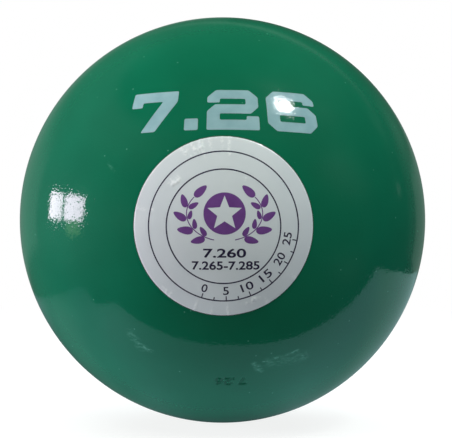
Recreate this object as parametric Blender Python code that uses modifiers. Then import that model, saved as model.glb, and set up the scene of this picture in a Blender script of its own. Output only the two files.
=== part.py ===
"""An iron shot for the shot put: a cored casting that is filled with lead, closed with a threaded
plug, turned to size with the plug in it, enamelled, and labelled.

Every piece is a solid of revolution about the axis of the core's neck. That axis lies along world
+Y, with the plug at +Y and the label at -Y. The ball's centre is the origin. A profile is a list of
(radius, height) points, where height runs along the axis towards the plug.
"""

import math

import bpy

MM = 0.001

# Driving dimensions, in metres and kilograms
BALL_DIAMETER = 123 * MM
FINISHED_MASS = 7.27
LABEL_DIAMETER = 50 * MM  # of the flat sticker, before it is pressed onto the ball
LABEL_THICKNESS = 0.15 * MM
PLUG_DIAMETER = 24 * MM
PLUG_LENGTH = 18 * MM  # from the turned surface to the seat, along the axis
PLUG_CHAMFER = 1.5 * MM
NECK_DIAMETER = 20 * MM
CORE_FILLET = 4 * MM  # where the sand core's ball runs into its neck
RELIEF_WIDTH = 3 * MM  # the groove at the bottom of the tapped hole, for the tap to run out into
RELIEF_DEPTH = 0.8 * MM
SHRINKAGE_DISH = 1.2 * MM  # how far the top of the lead sinks as it sets
FIT_GAP = 0.1 * MM  # between any two pieces that touch

IRON_DENSITY = 7200
LEAD_DENSITY = 11340
STEEL_DENSITY = 7850

# Facets
TURNS = 72  # round the axis
BALL_FACET = 5  # degrees between the rings of the ball and of what lies on it
CORE_FACET = 10
FILLET_FACET = 20

BALL_RADIUS = BALL_DIAMETER / 2
PLUG_RADIUS = PLUG_DIAMETER / 2
NECK_RADIUS = NECK_DIAMETER / 2
SEAT_HEIGHT = BALL_RADIUS - PLUG_LENGTH


def arc(radius, start, end, facet, centre=(0.0, 0.0)):
    """Points from one angle to another, in degrees from the axis, with one at each whole facet."""
    low, high = sorted((start, end))
    between = range(math.floor(low / facet) + 1, math.ceil(high / facet))
    angles = [low, *(facet * k for k in between), high]
    if start > end:
        angles.reverse()
    turned = [math.radians(a) for a in angles]
    return [(centre[0] + radius * math.sin(a), centre[1] + radius * math.cos(a)) for a in turned]


def angle_at(radius, sphere_radius):
    """How far from the axis, in degrees, a sphere reaches this radius."""
    return math.degrees(math.asin(radius / sphere_radius))


def core_profile(cavity_radius, inset=0.0):
    """The side of the core, from the bottom of its ball up to the top of its neck's fillet."""
    fillet = CORE_FILLET + inset
    centre_radius = NECK_RADIUS + CORE_FILLET
    centre_distance = cavity_radius + CORE_FILLET
    centre_angle = angle_at(centre_radius, centre_distance)
    centre = (centre_radius, centre_distance * math.cos(math.radians(centre_angle)))
    ball = arc(cavity_radius - inset, 180, centre_angle, CORE_FACET)
    neck_root = arc(fillet, 180 + centre_angle, 270, FILLET_FACET, centre)
    return ball + neck_root[1:]


def ball_profile(cavity_radius):
    """The iron: up the inside from the bottom of the cavity, and down the turned outside."""
    mouth = angle_at(PLUG_RADIUS, BALL_RADIUS)
    seat = [
        (NECK_RADIUS, SEAT_HEIGHT),
        (PLUG_RADIUS + RELIEF_DEPTH, SEAT_HEIGHT),
        (PLUG_RADIUS + RELIEF_DEPTH, SEAT_HEIGHT + RELIEF_WIDTH),
        (PLUG_RADIUS, SEAT_HEIGHT + RELIEF_WIDTH + RELIEF_DEPTH),
    ]
    return core_profile(cavity_radius) + seat + arc(BALL_RADIUS, mouth, 180, BALL_FACET)


def lead_profile(cavity_radius):
    """The lead: it fills the cavity and the neck, up to a dished top just under the plug."""
    rim = (NECK_RADIUS - FIT_GAP, SEAT_HEIGHT - FIT_GAP)
    dish_radius = (rim[0] ** 2 + SHRINKAGE_DISH**2) / (2 * SHRINKAGE_DISH)
    dish_centre = (0.0, rim[1] - SHRINKAGE_DISH + dish_radius)
    dish_edge = 180 - angle_at(rim[0], dish_radius)
    dish = arc(dish_radius, 180, dish_edge, BALL_FACET, dish_centre)
    side = core_profile(cavity_radius, FIT_GAP)
    side.reverse()
    return dish + side


def plug_profile():
    """The plug: its outer end is part of the ball's own turned surface."""
    radius = PLUG_RADIUS - FIT_GAP
    foot = SEAT_HEIGHT + FIT_GAP
    end = arc(BALL_RADIUS, 0, angle_at(radius, BALL_RADIUS), BALL_FACET)
    return end + [(radius, foot + PLUG_CHAMFER), (radius - PLUG_CHAMFER, foot), (0.0, foot)]


def label_profile():
    """The label: a flat disc pressed onto the ball, so its radius lies along the surface."""
    back = BALL_RADIUS + FIT_GAP
    edge = 180 - math.degrees(LABEL_DIAMETER / 2 / BALL_RADIUS)
    return arc(back, 180, edge, BALL_FACET) + arc(back + LABEL_THICKNESS, edge, 180, BALL_FACET)


def turned_volume(profile):
    """What a profile encloses when it is turned, as a sum of cone frustums."""
    total = 0.0
    for (r1, h1), (r2, h2) in zip(profile, profile[1:]):
        total += math.pi / 3 * (h1 - h2) * (r1 * r1 + r1 * r2 + r2 * r2)
    return total


def mass_with(cavity_radius):
    iron = IRON_DENSITY * turned_volume(ball_profile(cavity_radius))
    lead = LEAD_DENSITY * turned_volume(lead_profile(cavity_radius))
    steel = STEEL_DENSITY * turned_volume(plug_profile())
    return iron + lead + steel


def fitting_cavity():
    """The cavity radius at which the finished shot has its mass, found by halving."""
    low, high = NECK_RADIUS, SEAT_HEIGHT
    for _ in range(30):
        middle = (low + high) / 2
        if mass_with(middle) < FINISHED_MASS:
            low = middle
        else:
            high = middle
    return low


def finish(name, colour, roughness, metallic=0.0, coat=0.0):
    """A Principled material. The colour is linear."""
    material = bpy.data.materials.new(name)
    material.use_nodes = True
    shader = material.node_tree.nodes["Principled BSDF"]
    shader.inputs["Base Color"].default_value = (*colour, 1.0)
    shader.inputs["Roughness"].default_value = roughness
    shader.inputs["Metallic"].default_value = metallic
    shader.inputs["Coat Weight"].default_value = coat
    return material


def turn(name, profile, material, collection, axis):
    """Turns a profile into a solid about the parent's Z axis, with its hard edges kept sharp."""
    outline = bpy.data.meshes.new(name + "_profile")
    points = [(radius, 0.0, height) for radius, height in profile]
    edges = [(k, k + 1) for k in range(len(points) - 1)]
    outline.from_pydata(points, edges, [])
    piece = bpy.data.objects.new(name, outline)
    collection.objects.link(piece)

    screw = piece.modifiers.new("turning", "SCREW")
    screw.axis = "Z"
    screw.steps = TURNS
    screw.render_steps = TURNS
    screw.use_merge_vertices = True
    screw.merge_threshold = 0.01 * MM

    evaluated = piece.evaluated_get(bpy.context.evaluated_depsgraph_get())
    solid = bpy.data.meshes.new_from_object(evaluated)
    solid.name = name
    solid.shade_smooth()
    solid.set_sharp_from_angle(angle=math.radians(30))
    solid.materials.append(material)
    piece.modifiers.clear()
    piece.data = solid
    bpy.data.meshes.remove(outline)
    piece.parent = axis
    return piece


def neck_axis(collection):
    """The axis that every piece is turned about: its Z lies along world +Y."""
    axis = bpy.data.objects.new("neck_axis", None)
    axis.rotation_euler = (math.radians(-90), 0.0, 0.0)
    collection.objects.link(axis)
    return axis


def main():
    for old in list(bpy.data.objects):
        bpy.data.objects.remove(old)
    shot = bpy.data.collections.new("shot_put_ball")
    bpy.context.scene.collection.children.link(shot)

    enamel = finish("green_enamel", (0.010, 0.155, 0.072), roughness=0.12, coat=0.5)
    lead = finish("cast_lead", (0.17, 0.18, 0.20), roughness=0.55, metallic=0.8)
    plug_enamel = finish("green_enamel_on_steel", (0.010, 0.155, 0.072), roughness=0.12, coat=0.5)
    vinyl = finish("silver_grey_vinyl", (0.48, 0.54, 0.53), roughness=0.30)

    cavity_radius = fitting_cavity()
    axis = neck_axis(shot)
    turn("iron_ball", ball_profile(cavity_radius), enamel, shot, axis)
    turn("lead_filling", lead_profile(cavity_radius), lead, shot, axis)
    turn("closing_plug", plug_profile(), plug_enamel, shot, axis)
    turn("round_label", label_profile(), vinyl, shot, axis)
    bpy.context.view_layer.update()

    print(f"cavity diameter {2 * cavity_radius / MM:.2f} mm")
    print(f"finished mass {mass_with(cavity_radius):.3f} kg")


main()
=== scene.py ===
import math
import random

import bmesh
import bpy
from mathutils import Matrix, Vector, noise


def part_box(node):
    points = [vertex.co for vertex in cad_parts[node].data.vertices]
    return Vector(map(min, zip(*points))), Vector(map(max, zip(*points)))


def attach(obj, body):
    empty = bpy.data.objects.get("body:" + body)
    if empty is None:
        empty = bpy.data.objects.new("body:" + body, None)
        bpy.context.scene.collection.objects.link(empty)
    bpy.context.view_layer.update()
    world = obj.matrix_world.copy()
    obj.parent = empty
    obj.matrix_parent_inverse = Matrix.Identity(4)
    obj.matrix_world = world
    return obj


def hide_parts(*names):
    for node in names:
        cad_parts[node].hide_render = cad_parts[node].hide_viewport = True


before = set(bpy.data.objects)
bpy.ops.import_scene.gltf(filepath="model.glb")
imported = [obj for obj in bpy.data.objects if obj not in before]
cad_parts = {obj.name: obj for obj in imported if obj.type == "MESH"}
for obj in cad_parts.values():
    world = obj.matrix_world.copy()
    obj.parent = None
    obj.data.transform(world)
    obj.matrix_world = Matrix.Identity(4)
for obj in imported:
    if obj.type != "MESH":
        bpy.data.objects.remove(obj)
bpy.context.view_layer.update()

# The photograph's view
# A long lens, level with the ball and half a metre from it: that is where a 50 mm label shows as
# large on a 123 mm ball as it does. The ball is a little left of the middle of the frame.
FRAME_WIDTH = 452
SENSOR_WIDTH = 36  # mm
MM = 0.001
camera_distance = 525.6 * MM
camera_rise = math.radians(1.64)
camera_turn = math.radians(-0.25)
focal_pixels = 1721
ball_off_centre = (-3.5, -1.0)  # pixels, right and up

camera = bpy.data.objects.new("camera", bpy.data.cameras.new("camera"))
bpy.context.scene.collection.objects.link(camera)
camera.location = camera_distance * Vector((
    math.sin(camera_turn) * math.cos(camera_rise),
    -math.cos(camera_turn) * math.cos(camera_rise),
    math.sin(camera_rise),
))
camera.rotation_euler = (math.radians(90) - camera_rise, 0, camera_turn)
camera.data.sensor_width = SENSOR_WIDTH
camera.data.lens = SENSOR_WIDTH * focal_pixels / FRAME_WIDTH
camera.data.shift_x = -ball_off_centre[0] / FRAME_WIDTH
camera.data.shift_y = -ball_off_centre[1] / FRAME_WIDTH
camera.data.clip_start = 0.01
camera.data.clip_end = 50
bpy.context.scene.camera = camera
bpy.context.scene.view_settings.view_transform = "Standard"


# White floor
# A white sweep of the kind a product is cut out against. It takes the ball's soft shadow, and only
# the camera sees it, so its white puts no light on the ball.
FLOOR_HEIGHT = -61.5 * MM
floor_reach = 9000  # mm from the middle to an edge, so that no edge shows
shadow_ends = (0.15, 0.45)  # m from the middle, where the ball's shadow starts and has done fading


def linear(colour):
    """An sRGB hex colour as linear RGBA."""
    parts = [int(colour[i:i + 2], 16) / 255 for i in (1, 3, 5)]
    return [p / 12.92 if p <= 0.04045 else ((p + 0.055) / 1.055) ** 2.4 for p in parts] + [1.0]


def node(tree, kind, inputs=None, **settings):
    """Adds a node with its settings, and with each input set to a value or linked to an output."""
    made = tree.nodes.new("ShaderNode" + kind)
    for name, value in settings.items():
        setattr(made, name, value)
    for socket, value in (inputs or {}).items():
        if isinstance(value, bpy.types.NodeSocket):
            tree.links.new(value, made.inputs[socket])
        else:
            made.inputs[socket].default_value = value
    return made


def empty_material(name):
    """A material with no nodes yet."""
    made = bpy.data.materials.new(name)
    made.use_nodes = True
    made.node_tree.nodes.clear()
    return made


def flat_sheet(name, corners, height, material):
    """A level stage sheet with these corners, in millimetres."""
    mesh = bpy.data.meshes.new(name)
    points = [(x * MM, y * MM, height) for x, y in corners]
    mesh.from_pydata(points, [], [range(len(points))])
    mesh.materials.append(material)
    sheet = bpy.data.objects.new(name, mesh)
    bpy.context.scene.collection.objects.link(sheet)
    return sheet


# Matt white paper: it has no gloss, and all it shows is the ball's soft shadow.
sweep = empty_material("white_paper_sweep")
tree = sweep.node_tree
paper = node(tree, "BsdfDiffuse", {"Color": linear("#7c7c7c")})
glow = node(tree, "Emission", {"Color": linear("#ffffff"), "Strength": 0.85})
both = node(tree, "AddShader", {0: paper.outputs[0], 1: glow.outputs[0]})
place = node(tree, "TexCoord").outputs["Object"]
reach = node(tree, "VectorMath", {0: place}, operation="LENGTH")
away = node(tree, "MapRange", {0: reach.outputs["Value"], 1: shadow_ends[0], 2: shadow_ends[1]},
            interpolation_type="SMOOTHSTEP")
white = node(tree, "Emission", {"Color": linear("#ffffff"), "Strength": 1.0})
faded = node(tree, "MixShader", {0: away.outputs[0], 1: both.outputs[0], 2: white.outputs[0]})
node(tree, "OutputMaterial", {"Surface": faded.outputs[0]})
floor_corners = [(-floor_reach, -floor_reach), (floor_reach, -floor_reach),
                 (floor_reach, floor_reach), (-floor_reach, floor_reach)]
floor = flat_sheet("floor", floor_corners, FLOOR_HEIGHT, sweep)
floor.visible_diffuse = False
floor.visible_glossy = False
floor.visible_shadow = False


# Table top
# In the photograph the ball stands near the front edge of a pale table, and that is what its
# underside mirrors. The camera doesn't see it: it lies just under the white floor.
TABLE_BACK = 420
table_parts = [  # corners in millimetres, x to the right and y to the back
    [(-82, -63), (6, -62), (60, -52), (143, -30), (199, -14), (203, 73), (195, TABLE_BACK),
     (-97, TABLE_BACK), (-97, -41)],
    [(-97, -41), (-125, -40), (-136, -30), (-137, TABLE_BACK), (-97, TABLE_BACK)],
]
# Where it is cut both ways, in millimetres, so that its light can change from point to point.
table_cuts = [-160, -120, -100, -85, -70, -60, -50, -40, -32, -24, -16, -8, 0, 8, 16, 24, 32, 40, 50,
              60, 75, 90, 110, 135, 165, 200, 240, 290, 350]


def fade(value, start, end):
    """0 up to start and 1 past end, smooth between them."""
    t = max(0.0, min(1.0, (value - start) / (end - start)))
    return t * t * (3 - 2 * t)


def table_level(x, y):
    """How bright the table is at a point: dark where the ball stands and in its shadow behind."""
    # Lighter to the right and at the front left corner, and darker along the left and front edges.
    lit = 0.37 + 0.18 * fade(x, -110, 60)
    lit += 0.22 * math.exp(-(((x + 68) / 28) ** 2) - ((y + 50) / 20) ** 2)
    lit *= 1 - 0.35 * fade(x, -116, -126)
    lit -= 0.04 * fade(x, -45, -15) * fade(y, -38, -52)
    lit *= 1 - 0.12 * fade(y, 40, 180)
    # Nearly black under the ball, and two long shadows that spread to the back from it.
    contact = 0.12 + 0.88 * fade(math.hypot(x, y), 8, 54)
    back = max(0.0, min(y, 60.0))
    aside = x + 5 + 0.5 * back
    if aside < 0:
        cast = 0.26 + 0.74 * fade(-aside / (95 + 0.6 * back), 0.2, 1.0)
    else:
        cast = 0.3 + 0.7 * fade(aside / (155 + 1.6 * back), 0.0, 1.0)
    cast = 1 + (cast - 1) * fade(y, -45, 0)
    return lit * min(contact, cast) * (1 - 0.5 * fade(y, 280, TABLE_BACK))


sheet = bmesh.new()
for corners in table_parts:
    sheet.faces.new([sheet.verts.new((x, y, 0)) for x, y in corners])
for cut in table_cuts:
    for through, normal in (((cut, 0, 0), (1, 0, 0)), ((0, cut, 0), (0, 1, 0))):
        everything = sheet.verts[:] + sheet.edges[:] + sheet.faces[:]
        bmesh.ops.bisect_plane(sheet, geom=everything, dist=1e-4, plane_co=through, plane_no=normal)
table_mesh = bpy.data.meshes.new("table_top")
levels = [table_level(v.co.x, v.co.y) for v in sheet.verts]
bmesh.ops.scale(sheet, vec=(MM, MM, MM), verts=sheet.verts)
sheet.to_mesh(table_mesh)
sheet.free()
table_mesh.attributes.new("light", "FLOAT", "POINT").data.foreach_set("value", levels)
# The table glows instead of being lit: its light attribute holds painted light with the ball's
# painted shadows in it, tinted like white melamine laminate under a cool window, blue at the front
# and greener behind. It lights the ball's underside a little more than it shows in it.
table_paint = empty_material("painted_table_glow")
tree = table_paint.node_tree
table_light = node(tree, "Attribute", attribute_name="light")
bounce = node(tree, "Math", {0: node(tree, "LightPath").outputs["Is Diffuse Ray"], 1: 0.08, 2: 1.0},
              operation="MULTIPLY_ADD")
table_glow = node(tree, "Math", {0: table_light.outputs["Fac"], 1: bounce.outputs[0]},
                  operation="MULTIPLY")
where = node(tree, "SeparateXYZ", {0: node(tree, "TexCoord").outputs["Object"]})
green = node(tree, "MapRange", {0: where.outputs["Y"], 1: -25 * MM, 2: 10 * MM, 3: 1.0, 4: 1.07})
blue = node(tree, "MapRange", {0: where.outputs["Y"], 1: -25 * MM, 2: 10 * MM, 3: 1.25, 4: 1.09})
daylight = node(tree, "CombineColor", {0: 0.70, 1: green.outputs[0], 2: blue.outputs[0]})
painted_table_light = node(tree, "Emission", {"Color": daylight.outputs[0], "Strength": table_glow.outputs[0]})
node(tree, "OutputMaterial", {"Surface": painted_table_light.outputs[0]})
table_mesh.materials.append(table_paint)
table = bpy.data.objects.new("table_top", table_mesh)
bpy.context.scene.collection.objects.link(table)
table.location.z = FLOOR_HEIGHT - 0.2 * MM
table.visible_camera = False
table.visible_shadow = False


# Dim room
# The enamel and the label mirror the room, which is grey round the window on the left and dark
# elsewhere, with a thin bright beam behind. Only gloss sees this dome; the background is white.
room_spots = [  # turn, rise, how wide, how high, level
    (76, 57, 42, 22, 0.10),
    (74, 67, 14, 6, 0.12),
    (72, 24, 14, 8, 0.11),
    (78, 14, 14, 6, 0.05),
    (76, -20, 12, 7, 0.045),
    (143, 16, 8, 7, 0.05),
    (118, 8, 1.6, 1.6, 0.3),
    (125, 26, 4, 4, 0.04),
    (90, 46, 7, 5, 0.04),
    (-20, 76, 50, 14, 0.035),
    (-52, 2, 12, 7, 0.06),
    (-52, 38, 30, 12, 0.07),
]


def room_level(turn, rise):
    """How bright the room is. Turn 0 is the camera's side and 90 the ball's right, in degrees."""
    level = 0.05
    # The grey wall round the window, from the ceiling down to the table.
    width = 36 if turn > -90 else 46
    top = fade(rise, 52, 44)
    wall = 0.115 + 0.075 * math.exp(-(((rise - 2) / 12) ** 2)) + 0.03 * fade(rise, 26, 34)
    low = fade(rise, -48, -6) * (1 - 0.3 * fade(turn, -98, -112) * fade(rise, -6, -14))
    level += wall * math.exp(-(((turn + 90) / width) ** 2)) * top * low
    # Pale things low down behind the ball, on its left and its right.
    level += 0.11 * fade(turn, -125, -129) * fade(rise, 24, 8) * fade(rise, -9, -6)
    level += 0.03 * fade(turn, 125, 130) * fade(rise, -10, -9) * fade(rise, 22, 12)
    level += 0.10 * fade(turn, 137, 139) * fade(rise, -10, -9) * fade(rise, 10, 5)
    # A thin bright beam across the back, which droops to both sides.
    behind = turn % 360
    beam = 37 - 0.0125 * (behind - 160) ** 2
    level += 0.14 * math.exp(-(((behind - 163) / 28) ** 2) - ((rise - beam) / 2.6) ** 2)
    for at_turn, at_rise, wide, high, extra in room_spots:
        level += extra * math.exp(-(((turn - at_turn) / wide) ** 2) - ((rise - at_rise) / high) ** 2)
    return level - 0.02 * fade(turn, 80, 100) * fade(rise, 45, 35)


room_steps = (240, 120)  # round and up
room_radius = 6.0  # m
dome = bmesh.new()
levels = []
rows = []
for j in range(room_steps[1] + 1):
    rise = 180 * j / room_steps[1] - 90
    rows.append([])
    for k in range(room_steps[0]):
        turn = 360 * k / room_steps[0] - 180
        a, e = math.radians(turn), math.radians(rise)
        towards = Vector((math.sin(a) * math.cos(e), -math.cos(a) * math.cos(e), math.sin(e)))
        rows[-1].append(dome.verts.new(room_radius * towards))
        levels.append(room_level(turn, rise))
for low, high in zip(rows, rows[1:]):
    for k in range(room_steps[0]):
        dome.faces.new([low[k - 1], low[k], high[k], high[k - 1]])
room_mesh = bpy.data.meshes.new("room")
dome.to_mesh(room_mesh)
dome.free()
room_mesh.attributes.new("light", "FLOAT", "POINT").data.foreach_set("value", levels)
# Walls in daylight: cool and blue round the ball, and greener from 1.5 to 5 m behind it.
room_paint = empty_material("dim_room")
tree = room_paint.node_tree
room_light = node(tree, "Attribute", attribute_name="light")
where = node(tree, "SeparateXYZ", {0: node(tree, "TexCoord").outputs["Object"]})
green = node(tree, "MapRange", {0: where.outputs["Y"], 1: 1.5, 2: 5.0, 3: 1.14, 4: 1.4})
blue = node(tree, "MapRange", {0: where.outputs["Y"], 1: 1.5, 2: 5.0, 3: 1.28, 4: 1.22})
daylight = node(tree, "CombineColor", {0: 1.0, 1: green.outputs[0], 2: blue.outputs[0]})
room_glow = node(tree, "Emission", {
    "Color": daylight.outputs[0], "Strength": room_light.outputs["Fac"],
})
node(tree, "OutputMaterial", {"Surface": room_glow.outputs[0]})
room_mesh.materials.append(room_paint)
room = bpy.data.objects.new("room", room_mesh)
bpy.context.scene.collection.objects.link(room)
room.visible_camera = False
room.visible_diffuse = False
room.visible_transmission = False
room.visible_volume_scatter = False
room.visible_shadow = False


# Lights
# A window with two panes and a strip of garden at the left, and a round lamp at the upper right,
# all mirrored in the enamel, and large soft panels that aren't. Levels are radiances, where 1 is a
# white surface's, and sizes are in metres.
def light_from(name, turn, rise, distance, size, level, tint, mirrored, shape="RECTANGLE"):
    """An area light that faces the ball. Turn 0 is the camera's side and 90 the ball's right."""
    lamp = bpy.data.lights.new(name, "AREA")
    lamp.shape = shape
    lamp.size = size[0]
    lamp.size_y = size[1]
    area = size[0] * size[1] * (math.pi / 4 if shape == "ELLIPSE" else 1)
    lamp.energy = level * math.pi * area
    lamp.color = tint
    made = bpy.data.objects.new(name, lamp)
    bpy.context.scene.collection.objects.link(made)
    a, e = math.radians(turn), math.radians(rise)
    towards = Vector((math.sin(a) * math.cos(e), -math.cos(a) * math.cos(e), math.sin(e)))
    made.location = distance * towards
    made.rotation_euler = towards.to_track_quat("Z", "Y").to_euler()
    made.visible_glossy = mirrored
    return made


light_from("window_pane_1", -105.0, 4.3, 2.0, (0.40, 0.31), 12.0, (1.0, 0.88, 1.03), True)
light_from("window_pane_2", -89.4, 4.6, 2.0, (0.52, 0.335), 14.0, (1.0, 0.85, 1.03), True)
light_from("garden_below_window", -90.0, -3.2, 2.0, (0.38, 0.19), 1.15, (0.6, 1.0, 0.4), True)
light_from("lamp", 61, 59, 1.5, (0.235, 0.235), 32.0, (1, 1, 1), True, "ELLIPSE")
panel_distance = 2.0
panel_size = (1.2, 1.2)
for name, turn, rise, level, tint in (
    ("upper_left_panel", -45, 60, 4.7, (0.95, 1.0, 0.95)),
    ("upper_right_panel", 45, 60, 4.1, (0.82, 1.0, 0.92)),
    ("left_panel", -97, -1, 7.2, (1.0, 0.98, 1.13)),
    ("right_panel", 100, 5, 1.1, (0.7, 1.0, 1.7)),
    ("low_front_panel", -8, -44, 2.55, (0.93, 1.0, 1.03)),
    ("back_left_panel", -155, 38, 4.8, (0.85, 1.0, 1.0)),
    ("back_right_panel", 145, 40, 4.0, (0.85, 1.0, 1.0)),
    ("low_back_panel", 175, -45, 3.8, (0.85, 1.0, 1.0)),
):
    light_from(name, turn, rise, panel_distance, panel_size, level, tint, False)

# The world is plain white to the camera, gloss and glass, and a faint even fill to the rest.
world = bpy.data.worlds.new("surroundings")
bpy.context.scene.world = world
world.use_nodes = True
tree = world.node_tree
tree.nodes.clear()
rays = node(tree, "LightPath")
seen = node(tree, "Math", {0: rays.outputs["Is Camera Ray"], 1: rays.outputs["Is Glossy Ray"]},
            operation="MAXIMUM")
shown = node(tree, "Math", {0: seen.outputs[0], 1: rays.outputs["Is Transmission Ray"]},
             operation="MAXIMUM")
fill = node(tree, "Background", {"Color": linear("#ffffff"), "Strength": 0.065})
backdrop = node(tree, "Background", {"Color": linear("#ffffff"), "Strength": 1.0})
mixed = node(tree, "MixShader", {0: shown.outputs[0], 1: fill.outputs[0], 2: backdrop.outputs[0]})
node(tree, "OutputWorld", {"Surface": mixed.outputs[0]})


# Iron ball
# The body is grey cast iron, cast on a sand core, turned to size on the outside, drilled and
# tapped at the back for the plug, punched with its mass near the bottom, and sprayed green.
BALL_RADIUS = 61.5  # mm, as are the other sizes of this section
PLUG_RADIUS = 12.0
LIP = 0.12  # how far the enamel rounds the edge of the plug's hole
FIT_GAP = 0.1  # to what is cast or screwed into the body, so that no two faces touch
SEAT_HEIGHT = 43.5
NECK_RADIUS = 10.0
CORE_FILLET = 4.0
RELIEF_DEPTH = 0.8
RELIEF_WIDTH = 3.0
ball_segments = 240
ball_step = 1.5  # degrees between rings
HARD_EDGE = 35  # degrees
lead_low, lead_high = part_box("lead_filling")
cavity_radius = (lead_high[0] - lead_low[0]) / 2 / MM + FIT_GAP


def arc(radius, start, end, step, centre=(0.0, 0.0)):
    """Points from one angle from the axis to another, in degrees, about a step apart."""
    count = max(1, round(abs(end - start) / step))
    angles = [math.radians(start + (end - start) * k / count) for k in range(count + 1)]
    return [(centre[0] + radius * math.sin(a), centre[1] + radius * math.cos(a)) for a in angles]


def join_rings(shell, rings, segments):
    """Faces between each ring of points and the next. A ring may be a single point."""
    for one, other in zip(rings, rings[1:]):
        for k in range(segments):
            corners = [one[k % len(one)], other[k % len(other)],
                       other[(k + 1) % len(other)], one[(k + 1) % len(one)]]
            shell.faces.new(list(dict.fromkeys(corners)))


def turned(profile, segments):
    """A closed shell turned about Y from (radius, height) points in millimetres."""
    shell = bmesh.new()
    rings = []
    for radius, height in profile:
        if radius < 1e-6:
            rings.append([shell.verts.new((0, height, 0))])
            continue
        ring = []
        for k in range(segments):
            a = math.tau * k / segments
            ring.append(shell.verts.new((radius * math.cos(a), height, radius * math.sin(a))))
        rings.append(ring)
    join_rings(shell, rings, segments)
    bmesh.ops.recalc_face_normals(shell, faces=shell.faces)
    return shell


def finished(name, shell, material, normals=None):
    """Makes the piece from a bmesh in millimetres, with edges over HARD_EDGE degrees kept sharp."""
    bmesh.ops.scale(shell, vec=(MM, MM, MM), verts=shell.verts)
    mesh = bpy.data.meshes.new(name)
    shell.to_mesh(mesh)
    shell.free()
    mesh.shade_smooth()
    mesh.set_sharp_from_angle(angle=math.radians(HARD_EDGE))
    if normals:
        mesh.normals_split_custom_set_from_vertices([normals(v.co / MM) for v in mesh.vertices])
    mesh.materials.append(material)
    piece = bpy.data.objects.new(name, mesh)
    bpy.context.scene.collection.objects.link(piece)
    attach(piece, "root")
    return piece


# Each figure of the punch is a few straight strokes in a box 1 wide and 2 high.
figure_strokes = {
    "7": [[(0, 2), (1, 2), (0.4, 0)]],
    ".": [[(0.5, 0), (0.5, 0.1)]],
    "2": [[(0, 1.6), (0.3, 2), (0.75, 2), (1, 1.6), (0.9, 1.15), (0, 0), (1, 0)]],
    "6": [[(0.8, 2), (0.3, 1.5), (0, 0.8), (0.1, 0.25), (0.5, 0), (0.9, 0.25), (1, 0.7), (0.7, 1.1),
           (0.2, 1.0)]],
}
punch_height = 2.6
punch_spread = 1.25  # the figures are this much wider than their box
punch_depth = 0.34
punch_width = 0.62  # of one stroke
punch_turn = 3.0  # degrees right of the middle
punch_drop = 46.0  # degrees below level
punch_patch = (6, 3)  # no figure reaches further to a side, or further up or down
punch_near = 50  # what is less far out in the punch's direction isn't by it
punch_segments = []
pen = -4.1
for figure in "7.26":
    for stroke in figure_strokes[figure]:
        for (x1, y1), (x2, y2) in zip(stroke, stroke[1:]):
            scale = punch_height / 2
            punch_segments.append((pen + x1 * scale * punch_spread, y1 * scale - punch_height / 2,
                                   pen + x2 * scale * punch_spread, y2 * scale - punch_height / 2))
    pen += 1.4 if figure == "." else 2.6


def outwards(turn, drop):
    """The direction from the ball's centre at this turn and drop, in degrees."""
    a, e = math.radians(turn), math.radians(-drop)
    return Vector((math.sin(a) * math.cos(e), -math.cos(a) * math.cos(e), math.sin(e)))


punch_out = outwards(punch_turn, punch_drop)
# The figures were punched with the ball the other way up, so their right is the ball's left.
punch_right = -Vector((0, 0, 1)).cross(-punch_out).normalized()
punch_up = punch_out.cross(punch_right).normalized()
if punch_up.z > 0:
    punch_right, punch_up = -punch_right, -punch_up


def sunk(point):
    """How deep the punch went at a point of the ball's surface."""
    x, y = point.dot(punch_right), point.dot(punch_up)
    if abs(x) > punch_patch[0] or abs(y) > punch_patch[1] or point.dot(punch_out) < punch_near:
        return 0.0
    nearest = math.inf
    for x1, y1, x2, y2 in punch_segments:
        dx, dy = x2 - x1, y2 - y1
        t = max(0.0, min(1.0, ((x - x1) * dx + (y - y1) * dy) / (dx * dx + dy * dy)))
        nearest = min(nearest, math.hypot(x - x1 - t * dx, y - y1 - t * dy))
    return punch_depth * math.exp(-((nearest / (punch_width / 2)) ** 2) * 0.7)


mouth = math.degrees(math.asin((PLUG_RADIUS + LIP) / BALL_RADIUS))
fillet_reach = math.degrees(math.asin((NECK_RADIUS + CORE_FILLET) / (cavity_radius + CORE_FILLET)))
fillet_centre = (NECK_RADIUS + CORE_FILLET,
                 (cavity_radius + CORE_FILLET) * math.cos(math.radians(fillet_reach)))
mouth_height = math.sqrt(BALL_RADIUS**2 - PLUG_RADIUS**2)
ball_profile = arc(cavity_radius, 180, fillet_reach, 5)
ball_profile += arc(CORE_FILLET, 180 + fillet_reach, 270, 10, fillet_centre)[1:]
# The neck, the seat, the relief groove that ends the thread, and the mouth with its soft edge.
ball_profile += [
    (NECK_RADIUS, SEAT_HEIGHT),
    (PLUG_RADIUS + RELIEF_DEPTH, SEAT_HEIGHT),
    (PLUG_RADIUS + RELIEF_DEPTH, SEAT_HEIGHT + RELIEF_WIDTH),
    (PLUG_RADIUS, SEAT_HEIGHT + RELIEF_WIDTH + RELIEF_DEPTH),
    (PLUG_RADIUS, mouth_height - 0.15),
    (PLUG_RADIUS + 0.03, mouth_height - 0.06),
]
ball_profile += arc(BALL_RADIUS, mouth, 180, ball_step)
shell = turned(ball_profile, ball_segments)
skin_depth = BALL_RADIUS - 1.5  # what lies further out than this is on the outside


def by_punch(face):
    """Whether a face is on the outside and close enough to the figures to be cut finely."""
    middle = face.calc_center_median()
    return (middle.length > skin_depth and middle.dot(punch_out) > punch_near
            and abs(middle.dot(punch_right)) < punch_patch[0] + 0.5
            and abs(middle.dot(punch_up)) < punch_patch[1] + 0.4)


edges = list({e for f in shell.faces if by_punch(f) for e in f.edges})
bmesh.ops.subdivide_edges(shell, edges=edges, cuts=15, use_grid_fill=True)
for v in shell.verts:
    if v.co.dot(punch_out) > punch_near and v.co.length > skin_depth:
        v.co = v.co.normalized() * BALL_RADIUS
        v.co -= v.co.normalized() * sunk(v.co)


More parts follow.
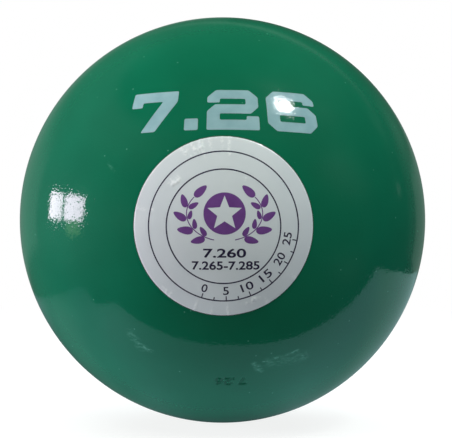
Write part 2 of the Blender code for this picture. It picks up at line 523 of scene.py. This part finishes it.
def ball_normal(point):
    """Straight out of the turned surface, tipped where it is punched, and left alone inside."""
    in_hole = point.y > 0 and math.hypot(point.x, point.z) < PLUG_RADIUS + LIP - 0.01
    if in_hole or point.length < BALL_RADIUS - 0.5:
        return (0, 0, 0)
    out = point.normalized()
    here = out * BALL_RADIUS
    if here.dot(punch_out) < punch_near:
        return out
    step = 0.03
    slope_right = (sunk(here + punch_right * step) - sunk(here - punch_right * step)) / (2 * step)
    slope_up = (sunk(here + punch_up * step) - sunk(here - punch_up * step)) / (2 * step)
    return (out + punch_right * slope_right + punch_up * slope_up).normalized()


# The sprayed surface: orange peel, and nibs as (how far apart, radius, height), as high as they
# need to be to break up the edges of what the enamel mirrors.
peel_wave = 0.8
peel_height = 0.015
nibs = ((0.9, 0.40, 0.013), (1.3, 0.30, 0.014))


def peeled(tree, place):
    """The bump of a sprayed surface: orange peel with nibs on it."""
    peel = node(tree, "TexNoise", {"Vector": place, "Scale": 1 / (peel_wave * MM), "Detail": 1.0})
    skin = node(tree, "Bump", {"Height": peel.outputs[0], "Distance": peel_height * MM})
    for spacing, reach, height in nibs:
        spots = node(tree, "TexVoronoi", {"Vector": place, "Scale": 1 / (spacing * MM)})
        nib = node(tree, "MapRange", {
            0: spots.outputs["Distance"], 1: 0.0, 2: reach / spacing, 3: 1.0, 4: 0.0,
        }, interpolation_type="SMOOTHSTEP")
        skin = node(tree, "Bump", {
            "Height": nib.outputs[0], "Distance": height * MM, "Normal": skin.outputs[0],
        })
    return skin.outputs[0]


# Rubbed places: from one point of the surface to another, how wide and how strong.
scuffs = [
    ((11.3, -46.9, -38.1), (20.8, -46.0, -35.1), 0.8, 0.8),
    ((13.0, -46.2, -38.5), (22.5, -43.6, -37.0), 3.0, 0.35),
    ((8.8, -46.9, -38.8), (10.5, -44.6, -41.1), 1.6, 0.6),
    ((21.1, -45.0, -36.2), (22.9, -43.0, -37.6), 1.3, 0.5),
    ((-25.8, -46.9, -30.4), (-23.0, -45.6, -34.2), 2.4, 0.33),
    ((-23.4, -46.1, -33.2), (-20.2, -46.1, -35.3), 1.4, 0.5),
    ((-31.8, -49.8, 17.2), (-30.1, -51.5, 15.0), 0.8, 0.25),
]
# Gloss enamel, sprayed: a deep green that mirrors the room, with ragged edges where its dimples
# bend the reflection. Its colour and gloss drift a little over 17 mm or so.
enamel = empty_material("sprayed_green_gloss_enamel")
tree = enamel.node_tree
place = node(tree, "TexCoord").outputs["Object"]
drift = node(tree, "TexNoise", {"Vector": place, "Scale": 1 / (16.7 * MM), "Detail": 2.0})
shade = node(tree, "MapRange", {0: drift.outputs[0], 1: 0.3, 2: 0.7, 3: 0.95, 4: 1.05})
colour = node(tree, "VectorMath", {0: linear("#086648")[:3], 1: shade.outputs[0]}, operation="MULTIPLY")
rubbed = 0.0
for start, end, wide, strong in scuffs:
    start, end = Vector(start) * MM, Vector(end) * MM
    run = end - start
    from_start = node(tree, "VectorMath", {0: place, 1: start}, operation="SUBTRACT")
    along = node(tree, "VectorMath", {0: from_start.outputs[0], 1: run / run.length_squared},
                 operation="DOT_PRODUCT")
    held = node(tree, "Math", {0: along.outputs["Value"], 1: 0.0}, operation="ADD", use_clamp=True)
    beside = node(tree, "VectorMath", {0: run, 3: held.outputs[0]}, operation="SCALE")
    away = node(tree, "VectorMath", {0: from_start.outputs[0], 1: beside.outputs[0]},
                operation="DISTANCE")
    near = node(tree, "MapRange", {0: away.outputs["Value"], 1: wide * MM, 2: 0.0, 3: 0.0, 4: strong},
                interpolation_type="SMOOTHSTEP")
    rubbed = node(tree, "Math", {0: rubbed, 1: near.outputs[0]}, operation="MAXIMUM").outputs[0]
# The rubbing is broken into flecks under 1 mm high, drawn out sideways to 1.5 mm.
drawn_out = node(tree, "VectorMath", {0: place, 1: (0.6, 1.0, 1.4)}, operation="MULTIPLY")
scratch = node(tree, "TexNoise", {
    "Vector": drawn_out.outputs[0], "Scale": 1 / (0.909 * MM), "Detail": 3.0,
})
fleck = node(tree, "MapRange", {0: scratch.outputs[0], 1: 0.44, 2: 0.62, 3: 0.05, 4: 0.42})
worn = node(tree, "Math", {0: fleck.outputs[0], 1: rubbed}, operation="MULTIPLY")
# Dust caught in the paint: specks up to 0.6 mm across, about one to every two square centimetres.
specks = node(tree, "TexVoronoi", {"Vector": place, "Scale": 1 / (5.0 * MM)})
speck = node(tree, "MapRange", {0: specks.outputs["Distance"], 1: 0.025, 2: 0.06, 3: 0.25, 4: 0.0})
pale = node(tree, "Math", {0: worn.outputs[0], 1: speck.outputs[0]}, operation="MAXIMUM")
dusted = node(tree, "Mix", {"Factor": pale.outputs[0], 6: colour.outputs[0], 7: linear("#89dac0")},
              data_type="RGBA")
# Dirt and painted shade darken the punched figures, and a painted shadow makes a thin dark line
# along the label's edge, 25 mm from its middle.
sunk_dirt_and_shade = node(tree, "Attribute", attribute_name="sunk")
from_label = node(tree, "VectorMath", {0: place, 1: (0, -BALL_RADIUS * MM, 0)}, operation="DISTANCE")
label_edge_painted_shadow = node(tree, "MapRange", {
    0: from_label.outputs["Value"], 1: 24.95 * MM, 2: 25.4 * MM, 3: 0.7, 4: 0.0,
})
dirt_and_painted_shade = node(tree, "Math", {0: sunk_dirt_and_shade.outputs["Fac"], 1: label_edge_painted_shadow.outputs[0]}, operation="MAXIMUM")
marked = node(tree, "Mix", {"Factor": dirt_and_painted_shade.outputs[0], 6: dusted.outputs[2], 7: linear("#06261e")},
              data_type="RGBA")
# Clean enamel is nearly a mirror. Dirt, painted shade and rubbing take the gloss off it.
rough = node(tree, "MapRange", {0: drift.outputs[0], 1: 0.3, 2: 0.7, 3: 0.045, 4: 0.07})
dull = node(tree, "Math", {0: dirt_and_painted_shade.outputs[0], 1: 0.8, 2: rough.outputs[0]}, operation="MULTIPLY_ADD")
dulled = node(tree, "Math", {0: worn.outputs[0], 1: 1.2, 2: dull.outputs[0]}, operation="MULTIPLY_ADD")
gloss = node(tree, "BsdfPrincipled", {
    "Base Color": marked.outputs[2], "Roughness": dulled.outputs[0], "IOR": 1.5,
    "Normal": peeled(tree, place),
})
node(tree, "OutputMaterial", {"Surface": gloss.outputs[0]})

ball = finished("enamelled_ball", shell, enamel, ball_normal)
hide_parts("iron_ball")
# How far dirt and painted shade darken the punched figures, at their bottoms.
punch_dirt_and_shade = 0.12  # at the bottom of the figures
dirt_and_shade_by_vertex = []
for v in ball.data.vertices:
    on_outside = v.co.length > skin_depth * MM
    dirt_and_shade_by_vertex.append(min(1.0, punch_dirt_and_shade * sunk(v.co / MM) / punch_depth) if on_outside else 0.0)
ball.data.attributes.new("sunk", "FLOAT", "POINT").data.foreach_set("value", dirt_and_shade_by_vertex)


# Lead filling
# Lead poured through the neck until the shot has its mass, with a dish where it shrank. It is the
# CAD piece as it stands, with the dull blue-grey skin that lead gets in air: cloudy, in patches
# about 8 mm wide, and with no sharp highlight.
lead = empty_material("poured_lead")
tree = lead.node_tree
place = node(tree, "TexCoord").outputs["Object"]
bloom = node(tree, "TexNoise", {"Vector": place, "Scale": 1 / (8.3 * MM), "Detail": 4.0})
tone = node(tree, "ValToRGB", {0: bloom.outputs[0]})
tone.color_ramp.elements[0].color = linear("#5d6166")
tone.color_ramp.elements[1].color = linear("#8b9096")
skin = node(tree, "Bump", {"Height": bloom.outputs[0], "Strength": 0.6, "Distance": 0.1 * MM})
grey = node(tree, "BsdfPrincipled", {
    "Base Color": tone.outputs[0], "Metallic": 1.0, "Roughness": 0.55, "Normal": skin.outputs[0],
})
node(tree, "OutputMaterial", {"Surface": grey.outputs[0]})
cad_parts["lead_filling"].material_slots[0].material = lead


# Closing plug
# A threaded steel plug, screwed down on its seat, turned flush with the ball and sprayed with it.
# All that shows is a hair line round its end.
hair_line = 0.04  # how wide the gap round the plug is
plug_radius = PLUG_RADIUS - hair_line
plug_chamfer = 1.5
plug_segments = 120
plug_top = math.degrees(math.asin((plug_radius - LIP) / BALL_RADIUS))
plug_edge_height = math.sqrt(BALL_RADIUS**2 - plug_radius**2)
plug_profile = arc(BALL_RADIUS, 0, plug_top, ball_step)
plug_profile += [
    (plug_radius - 0.03, plug_edge_height - 0.06),
    (plug_radius, plug_edge_height - 0.15),
    (plug_radius, SEAT_HEIGHT + FIT_GAP + plug_chamfer),
    (plug_radius - plug_chamfer, SEAT_HEIGHT + FIT_GAP),
    (0.0, SEAT_HEIGHT + FIT_GAP),
]
plug = finished("enamelled_plug", turned(plug_profile, plug_segments), enamel)
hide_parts("closing_plug")


# Number on the ball
# The mass, screen printed in pale grey-blue epoxy ink in broad block figures above the label. The
# film is a few hundredths of a millimetre thick and as glossy as the enamel.
def flat_shape(curve):
    """The filled faces of a flat curve or text."""
    drawn = bpy.data.objects.new(curve.name, curve)
    bpy.context.scene.collection.objects.link(drawn)
    flat = bpy.data.meshes.new_from_object(drawn.evaluated_get(bpy.context.evaluated_depsgraph_get()))
    bpy.data.objects.remove(drawn)
    shape = bmesh.new()
    shape.from_mesh(flat)
    bpy.data.meshes.remove(flat)
    bmesh.ops.remove_doubles(shape, verts=shape.verts, dist=1e-5)
    return shape


def rounded(corners, radius):
    """The outline with each corner cut to a short curve."""
    points = []
    for k, corner in enumerate(corners):
        here = Vector(corner)
        before = here + (Vector(corners[k - 1]) - here).normalized() * radius
        after = here + (Vector(corners[(k + 1) % len(corners)]) - here).normalized() * radius
        for t in (0, 0.33, 0.67, 1):
            points.append(before * (1 - t) ** 2 + here * 2 * t * (1 - t) + after * t**2)
    return points


# Each block figure is its width and its outlines. All but the point are as high as block_height.
block_height = 13
block_figures = {
    "7": (13.6, [[(0, 13), (13.6, 13), (13.6, 9.4), (7.8, 0), (3.8, 0), (9.3, 9.6), (3.3, 9.6),
                  (3.3, 8.0), (0, 8.0)]]),
    ".": (3.7, [[(0, 0), (0, 3.6), (3.7, 3.6), (3.7, 0)]]),
    "2": (14.2, [[(0, 8.7), (0, 10.6), (2.4, 13), (11.8, 13), (14.2, 10.6), (14.2, 7.3), (12.0, 5.1),
                  (3.5, 5.1), (3.5, 3.1), (10.8, 3.1), (10.8, 4.3), (14.2, 4.3), (14.2, 0), (0, 0),
                  (0, 5.9), (2.2, 8.1), (10.7, 8.1), (10.7, 10.0), (3.5, 10.0), (3.5, 8.7)]]),
    "6": (14.4, [[(2.4, 13), (12.0, 13), (14.4, 10.6), (14.4, 8.9), (10.9, 8.9), (10.9, 10.0),
                  (3.5, 10.0), (3.5, 8.1), (12.2, 8.1), (14.4, 5.9), (14.4, 2.4), (12.0, 0), (2.4, 0),
                  (0, 2.4), (0, 10.6)],
                 [(3.5, 5.1), (10.9, 5.1), (10.9, 3.0), (3.5, 3.0)]]),
}
figure_gap = 2.35
corner_radius = 0.45
ink_thickness = 0.03
ink_bite = 0.01  # how far a film's underside sits in what carries it


def block_number(text):
    """The number in block figures, about its middle."""
    length = sum(block_figures[c][0] for c in text) + figure_gap * (len(text) - 1)
    curve = bpy.data.curves.new("block_number", "CURVE")
    curve.dimensions = "2D"
    curve.fill_mode = "BOTH"
    pen = -length / 2
    for c in text:
        width, outlines = block_figures[c]
        for outline in outlines:
            points = rounded(outline, corner_radius)
            spline = curve.splines.new("POLY")
            spline.points.add(len(points) - 1)
            spline.use_cyclic_u = True
            for spot, p in zip(spline.points, points):
                spot.co = (p.x + pen, p.y - block_height / 2, 0, 1)
        pen += width + figure_gap
    return flat_shape(curve)


def ink_film(name, shape, placed, thickness, pitch, material):
    """Lays flat faces, cut up every pitch mm, on a curved surface as a thin closed film.

    placed gives the point of the surface that belongs to an x, a y and a lift."""
    reach = max(max(abs(v.co.x), abs(v.co.y)) for v in shape.verts)
    cuts = math.ceil(reach / pitch)
    for k in range(-cuts, cuts + 1):
        for normal in ((1, 0, 0), (0, 1, 0)):
            everything = shape.verts[:] + shape.edges[:] + shape.faces[:]
            bmesh.ops.bisect_plane(shape, geom=everything, dist=1e-5,
                                   plane_co=Vector(normal) * (k * pitch), plane_no=normal)
    film = bmesh.new()
    shape.verts.index_update()
    tops = [film.verts.new(placed(v.co.x, v.co.y, thickness)) for v in shape.verts]
    feet = [film.verts.new(placed(v.co.x, v.co.y, -ink_bite)) for v in shape.verts]
    for f in shape.faces:
        around = [v.index for v in f.verts]
        film.faces.new([tops[i] for i in around])
        film.faces.new([feet[i] for i in reversed(around)])
    for e in shape.edges:
        if e.is_boundary:
            i, j = e.verts[0].index, e.verts[1].index
            film.faces.new([tops[i], feet[i], feet[j], tops[j]])
    shape.free()
    bmesh.ops.recalc_face_normals(film, faces=film.faces)
    return finished(name, film, material, lambda point: point.normalized())


print_lean = math.radians(11.3)  # the print follows circles about an axis that leans back this far
print_axis = Vector((0, math.sin(print_lean), math.cos(print_lean)))
print_front = Vector((0, -math.cos(print_lean), math.sin(print_lean)))
print_latitude = math.radians(20.0)  # of the middle of the figures, about that axis


def on_ball(x, y, lift):
    """A point above the ball's surface, x right and y up from the middle of the number."""
    up = print_latitude + y / BALL_RADIUS
    along = x / (BALL_RADIUS * math.cos(print_latitude))
    sideways = print_front * math.cos(along) + Vector((1, 0, 0)) * math.sin(along)
    return (sideways * math.cos(up) + print_axis * math.sin(up)) * (BALL_RADIUS + lift)


# An epoxy screen ink gives an even pale colour, as glossy and dimpled as the enamel under it, and
# a little thinner in patches about 4 mm wide.
pale_ink = empty_material("pale_epoxy_screen_ink")
tree = pale_ink.node_tree
place = node(tree, "TexCoord").outputs["Object"]
cover = node(tree, "TexNoise", {"Vector": place, "Scale": 1 / (4 * MM), "Detail": 3.0})
tone = node(tree, "ValToRGB", {0: cover.outputs[0]})
tone.color_ramp.elements[0].position = 0.3
tone.color_ramp.elements[0].color = linear("#8aabb1")
tone.color_ramp.elements[1].position = 0.7
tone.color_ramp.elements[1].color = linear("#97b7bc")
ink = node(tree, "BsdfPrincipled", {
    "Base Color": tone.outputs[0], "Roughness": 0.07, "IOR": 1.5, "Normal": peeled(tree, place),
})
node(tree, "OutputMaterial", {"Surface": ink.outputs[0]})
number = block_number("7.26")
ink_film("printed_number", number, on_ball, ink_thickness, 1.5, pale_ink)


# Round label
# A 50 mm disc of silver-grey vinyl, printed flat and then pressed onto the ball. A flat disc has
# too much rim for a ball, so it is left with small creases and trapped bubbles.
LABEL_RADIUS = 25.0  # mm, as are the other sizes of this section
LABEL_FACE = 61.75  # from the ball's centre
INNER_RING = 15.6  # radius of the first printed ring
OUTER_RING = 20.65  # and of the second
wave_height = 0.012
wave_length = 6.0
# Creases run in from the rim: (degrees from the right, how high, half how wide, how far in).
creases = [(105, 0.22, 0.35, 6.0), (99, 0.12, 0.4, 4.5), (111, 0.13, 0.4, 5.0), (86, 0.15, 0.3, 6.0),
           (91, 0.07, 0.4, 4.5), (251, 0.14, 0.3, 4.0), (273, 0.12, 0.3, 4.0), (262, 0.06, 0.4, 3.5),
           (232, 0.07, 0.4, 3.0), (168, 0.06, 0.4, 4.5), (300, 0.06, 0.4, 3.5), (324, 0.05, 0.5, 3.0)]
# Where air is trapped: (right, up, how wide, how many bubbles).
air_patches = [(-13.5, 12.4, 2.0, 16), (8.0, 13.2, 1.5, 8), (8.3, -20.2, 1.5, 10),
               (-6.3, 21.6, 1.5, 12), (2.0, 20.6, 0.8, 4), (-10.0, 20.0, 1.6, 8),
               (-19.8, 4.5, 0.8, 3), (-15.5, -17.5, 0.9, 3)]
draw = random.Random(26)
bubbles = []
for patch_x, patch_y, patch_reach, count in air_patches:
    for _ in range(count):
        bubbles.append((patch_x + draw.gauss(0, 0.5) * patch_reach,
                        patch_y + draw.gauss(0, 0.5) * patch_reach,
                        draw.uniform(0.22, 0.5), draw.uniform(0.05, 0.12)))
# None is kept within 0.6 mm of a printed ring, where it would make a kink in the line.
bubbles = [b for b in bubbles
           if min(abs(math.hypot(b[0], b[1]) - ring) for ring in (INNER_RING, OUTER_RING)) > 0.6]


def lifted_off(x, y):
    """How far creases and bubbles hold the vinyl off the ball."""
    radius, angle = math.hypot(x, y), math.degrees(math.atan2(y, x)) % 360
    rise = 0.0
    for at, height, width, inwards in creases:
        across = math.radians((angle - at + 180) % 360 - 180) * radius
        growth = max(0.0, (radius - LABEL_RADIUS + inwards) / inwards)
        if growth and abs(across) < 3 * width:
            rise += height * growth * math.exp(-((across / width) ** 2))
    for bx, by, width, height in bubbles:
        if abs(x - bx) < 1.5 and abs(y - by) < 1.5:
            rise += height * math.exp(-(((x - bx) ** 2 + (y - by) ** 2) / width**2))
    return rise


def label_rise(x, y):
    """How far the vinyl stands above an even sphere, with the slow waves that all of it has."""
    return lifted_off(x, y) + wave_height * (1 + noise.noise(Vector((x, y, 0)) / wave_length))


def on_label(x, y, lift):
    """A point above the label's face, x right and y up from its middle."""
    radius = math.hypot(x, y)
    out = Vector((0, -1, 0))
    if radius > 1e-9:
        bend = radius / BALL_RADIUS
        out = Vector((x / radius * math.sin(bend), -math.cos(bend), y / radius * math.sin(bend)))
    return out * (LABEL_FACE + label_rise(x, y) + lift)


label_rings = 125
label_segments = 420
label_back = BALL_RADIUS + 0.005
rim_drop = 0.06  # how far the cut edge is rounded down
rim = LABEL_RADIUS + 0.05
around = [(math.cos(math.tau * k / label_segments), math.sin(math.tau * k / label_segments))
          for k in range(label_segments)]
disc = bmesh.new()
label_face = [[disc.verts.new(on_label(0, 0, 0))]]
for r in range(1, label_rings + 1):
    radius = LABEL_RADIUS * r / label_rings
    lift = -rim_drop if r == label_rings else 0.0
    label_face.append([disc.verts.new(on_label(radius * x, radius * y, lift)) for x, y in around])
rim_foot = [disc.verts.new(on_label(rim * x, rim * y, 0).normalized() * label_back) for x, y in around]
back = disc.verts.new((0, -label_back, 0))
join_rings(disc, label_face + [rim_foot], label_segments)
for k in range(label_segments):
    disc.faces.new([back, rim_foot[(k + 1) % label_segments], rim_foot[k]])
bmesh.ops.recalc_face_normals(disc, faces=disc.faces)

# Satin vinyl with a trace of aluminium pigment: a cool grey-white, brighter where it faces the
# light, faintly mottled over 8 mm or so, and whitened where air is under it and, as a painted
# highlight, along its creases and at its rim. Its grain is drawn 0.7 mm wide, coarser than the real
# one, so that it shows.
vinyl = empty_material("silver_grey_printed_vinyl")
tree = vinyl.node_tree
place = node(tree, "TexCoord").outputs["Object"]
mottle = node(tree, "TexNoise", {"Vector": place, "Scale": 1 / (7.7 * MM), "Detail": 3.0})
tone = node(tree, "ValToRGB", {0: mottle.outputs[0]})
tone.color_ramp.elements[0].position = 0.3
tone.color_ramp.elements[0].color = linear("#e4e7e9")
tone.color_ramp.elements[1].position = 0.7
tone.color_ramp.elements[1].color = linear("#e8eaec")
air_and_highlight = node(tree, "Attribute", attribute_name="air_and_highlight")
fog = node(tree, "TexNoise", {"Vector": place, "Scale": 1 / (2 / 3 * MM), "Detail": 2.0})
speckle = node(tree, "MapRange", {0: fog.outputs[0], 1: 0.35, 2: 0.65, 3: 0.0, 4: 1.0})
paler = node(tree, "Math", {0: air_and_highlight.outputs["Fac"], 1: speckle.outputs[0]}, operation="MULTIPLY")
silvered = node(tree, "Mix", {"Factor": paler.outputs[0], 6: tone.outputs[0], 7: linear("#ffffff")},
                data_type="RGBA")
bump = node(tree, "Bump", {"Height": fog.outputs[0], "Strength": 1.0, "Distance": 0.003 * MM})
film = node(tree, "BsdfPrincipled", {
    "Base Color": silvered.outputs[2], "Metallic": 0.15, "Roughness": 0.30, "IOR": 1.48,
    "Normal": bump.outputs[0],
})
node(tree, "OutputMaterial", {"Surface": film.outputs[0]})
label = finished("vinyl_label", disc, vinyl)
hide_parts("round_label")
# The vinyl is whitened where it is lifted 0.05 mm or more, and a little at the rim: over bubbles
# that is the air under it, and on the creases and at the rim it is a painted highlight.
full_whitening = 0.05
lift_and_highlight_whitening = []
for v in label.data.vertices:
    out = v.co.normalized()
    bend = math.acos(max(-1.0, min(1.0, -out.y)))
    side = math.hypot(out.x, out.z) or 1.0
    here = (out.x / side * bend * BALL_RADIUS, out.z / side * bend * BALL_RADIUS)
    whitened = max(lifted_off(*here) / full_whitening, 0.6 * fade(bend * BALL_RADIUS, 24.5, 24.9))
    on_face = v.co.length > (LABEL_FACE - 0.1) * MM
    lift_and_highlight_whitening.append(min(1.0, whitened) if on_face else 0.0)
label.data.attributes.new("air_and_highlight", "FLOAT", "POINT").data.foreach_set("value", lift_and_highlight_whitening)


# Printing on the label
# Two hair-line rings, a round badge with a star between two sprays of leaves, figures below them,
# and a short dial between the rings. Each is a film of ink on the vinyl and creases with it.
label_ink_thickness = 0.02
# Offset inks are flat and satin, and a little thinner in patches about 2.5 mm wide.
purple_ink = empty_material("purple_label_ink")
dark_ink = empty_material("near_black_label_ink")
for ink, thin, full in ((purple_ink, "#693c7f", "#734789"), (dark_ink, "#221835", "#2d2342")):
    tree = ink.node_tree
    place = node(tree, "TexCoord").outputs["Object"]
    cover = node(tree, "TexNoise", {"Vector": place, "Scale": 1 / (2.5 * MM), "Detail": 3.0})
    tone = node(tree, "ValToRGB", {0: cover.outputs[0]})
    tone.color_ramp.elements[0].position = 0.3
    tone.color_ramp.elements[0].color = linear(thin)
    tone.color_ramp.elements[1].position = 0.7
    tone.color_ramp.elements[1].color = linear(full)
    film = node(tree, "BsdfPrincipled", {"Base Color": tone.outputs[0], "Roughness": 0.35, "IOR": 1.48})
    node(tree, "OutputMaterial", {"Surface": film.outputs[0]})


def printed(name, shape, ink, pitch=1.0):
    """Prints flat faces in millimetres on the label."""
    ink_film("label_" + name, shape, on_label, label_ink_thickness, pitch, ink)


ring_line = 0.36
ring_steps = 600
for name, radius in (("outer_ring", OUTER_RING), ("inner_ring", INNER_RING)):
    band = bmesh.new()
    loops = []
    for r in (radius - ring_line / 2, radius, radius + ring_line / 2):
        loops.append([])
        for k in range(ring_steps):
            a = math.tau * k / ring_steps
            loops[-1].append(band.verts.new((r * math.cos(a), r * math.sin(a), 0)))
    for one, other in zip(loops, loops[1:]):
        for k in range(ring_steps):
            band.faces.new([one[k - 1], other[k - 1], other[k], one[k]])
    printed(name, band, dark_ink, 5.0)

emblem_centre = Vector((0.3, 3.5))
badge_radius = 5.7
star_reach = 4.9
star_waist = 2.1
# The badge is printed round the star, in ten pieces from the star's edge out to the circle.
badge = bmesh.new()
for k in range(10):
    outline = []
    for j in (k, k + 1):
        a = math.radians(90 + 36 * j)
        outline.append((star_reach if j % 2 == 0 else star_waist) * Vector((math.cos(a), math.sin(a))))
    for j in range(6):
        a = math.radians(90 + 36 * (k + 1) - 7.2 * j)
        outline.append(badge_radius * Vector((math.cos(a), math.sin(a))))
    badge.faces.new([badge.verts.new((*(p + emblem_centre), 0)) for p in outline])
printed("badge", badge, purple_ink)

wreath_size = Vector((10.3, 7.4))  # half the width and height of the two bent stems
stem_start = -74  # degrees up from the side, as is where a leaf grows
stem_step = 3.7
stem_steps = 30
stem_line = 0.26
leaf_length = 4.4
leaf_width = 2.1
leaf_points = 20
leaf_gap = 0.4  # from the middle of the stem
# Each leaf: where on the stem it grows, how far it leans from it, in degrees, and its scale.
leaves = ((-60, -36, 0.9), (-60, 34, 0.66), (-37, -38, 1.0), (-37, 40, 0.62), (-13, -40, 0.92),
          (-13, 34, 0.56), (12, -34, 0.85), (12, 44, 0.68), (38, 0, 1.0))
wreath = bmesh.new()


def stem(side, along):
    """A point of one stem, and the way it runs there."""
    a = math.radians(along)
    here = emblem_centre + Vector((side * wreath_size.x * math.cos(a), wreath_size.y * math.sin(a)))
    return here, Vector((-side * wreath_size.x * math.sin(a), wreath_size.y * math.cos(a))).normalized()


for side in (-1, 1):
    rails = []
    for k in range(stem_steps + 1):
        here, ahead = stem(side, stem_start + stem_step * k)
        out = side * Vector((ahead.y, -ahead.x)) * stem_line / 2
        rails.append([wreath.verts.new((p.x, p.y, 0)) for p in (here - out, here + out)])
    for (a, b), (c, d) in zip(rails, rails[1:]):
        wreath.faces.new([a, b, d, c])
    for along, lean, scale in leaves:
        here, ahead = stem(side, along)
        out = side * Vector((ahead.y, -ahead.x)) * (0 if lean == 0 else math.copysign(1, -lean))
        forward = Matrix.Rotation(math.radians(side * lean), 2) @ ahead
        across = Vector((-forward.y, forward.x))
        outline = []
        for t in range(leaf_points):
            u = math.tau * t / leaf_points
            reach = scale * leaf_length * (1 + math.cos(u)) / 2
            half = scale * leaf_width / 2 * math.sin(u) * (1 - 0.3 * math.cos(u))
            outline.append(here + out * leaf_gap + forward * reach + across * half)
        wreath.faces.new([wreath.verts.new((p.x, p.y, 0)) for p in outline])
printed("wreath", wreath, purple_ink)


def figures(text, height, width, weight, x, y, turn=0.0):
    """Plain printed numbers as flat faces in millimetres, with their middle at x and y."""
    curve = bpy.data.curves.new("figures", "FONT")
    curve.body = text
    curve.offset = weight
    curve.resolution_u = 8
    shape = flat_shape(curve)
    low_x, high_x = min(v.co.x for v in shape.verts), max(v.co.x for v in shape.verts)
    low_y, high_y = min(v.co.y for v in shape.verts), max(v.co.y for v in shape.verts)
    for v in shape.verts:
        v.co.x = (v.co.x - (low_x + high_x) / 2) * width / (high_x - low_x)
        v.co.y = (v.co.y - (low_y + high_y) / 2) * height / (high_y - low_y)
    bmesh.ops.rotate(shape, matrix=Matrix.Rotation(math.radians(turn), 3, "Z"), verts=shape.verts)
    bmesh.ops.translate(shape, vec=(x, y, 0), verts=shape.verts)
    return shape


printed("figures_upper", figures("7.260", 2.5, 11.6, 0.02, 0.3, -7.2), dark_ink)
printed("figures_lower", figures("7.265-7.285", 2.4, 18.4, 0.02, 0.6, -10.6), dark_ink)

dial_radius = 17.75  # to the middles of its figures
dial_height = 2.3  # of its figures
dial_start = -107  # degrees from the right, as is a tick's turn
dial_step = 9.6
tick_end = 20.44  # just inside the outer ring's film
tick_line = 0.3
ticks = bmesh.new()
for k in range(11):
    turn = dial_start + dial_step * k
    a = math.radians(turn)
    out = Vector((math.cos(a), math.sin(a)))
    if k % 2 == 0:
        text = str(5 * k // 2)
        width = 1.6 if len(text) == 1 else 3.5
        x, y = dial_radius * out.x, dial_radius * out.y
        shape = figures(text, dial_height, width, 0.01, x, y, turn + 90)
        printed(f"dial_{text}", shape, dark_ink)
    half_line = Vector((-out.y, out.x)) * tick_line / 2
    tick_start = 19.3 if k % 2 == 0 else 19.7
    corners = [out * tick_start - half_line, out * tick_end - half_line,
               out * tick_end + half_line, out * tick_start + half_line]
    ticks.faces.new([ticks.verts.new((p.x, p.y, 0)) for p in corners])
printed("dial_ticks", ticks, dark_ink)
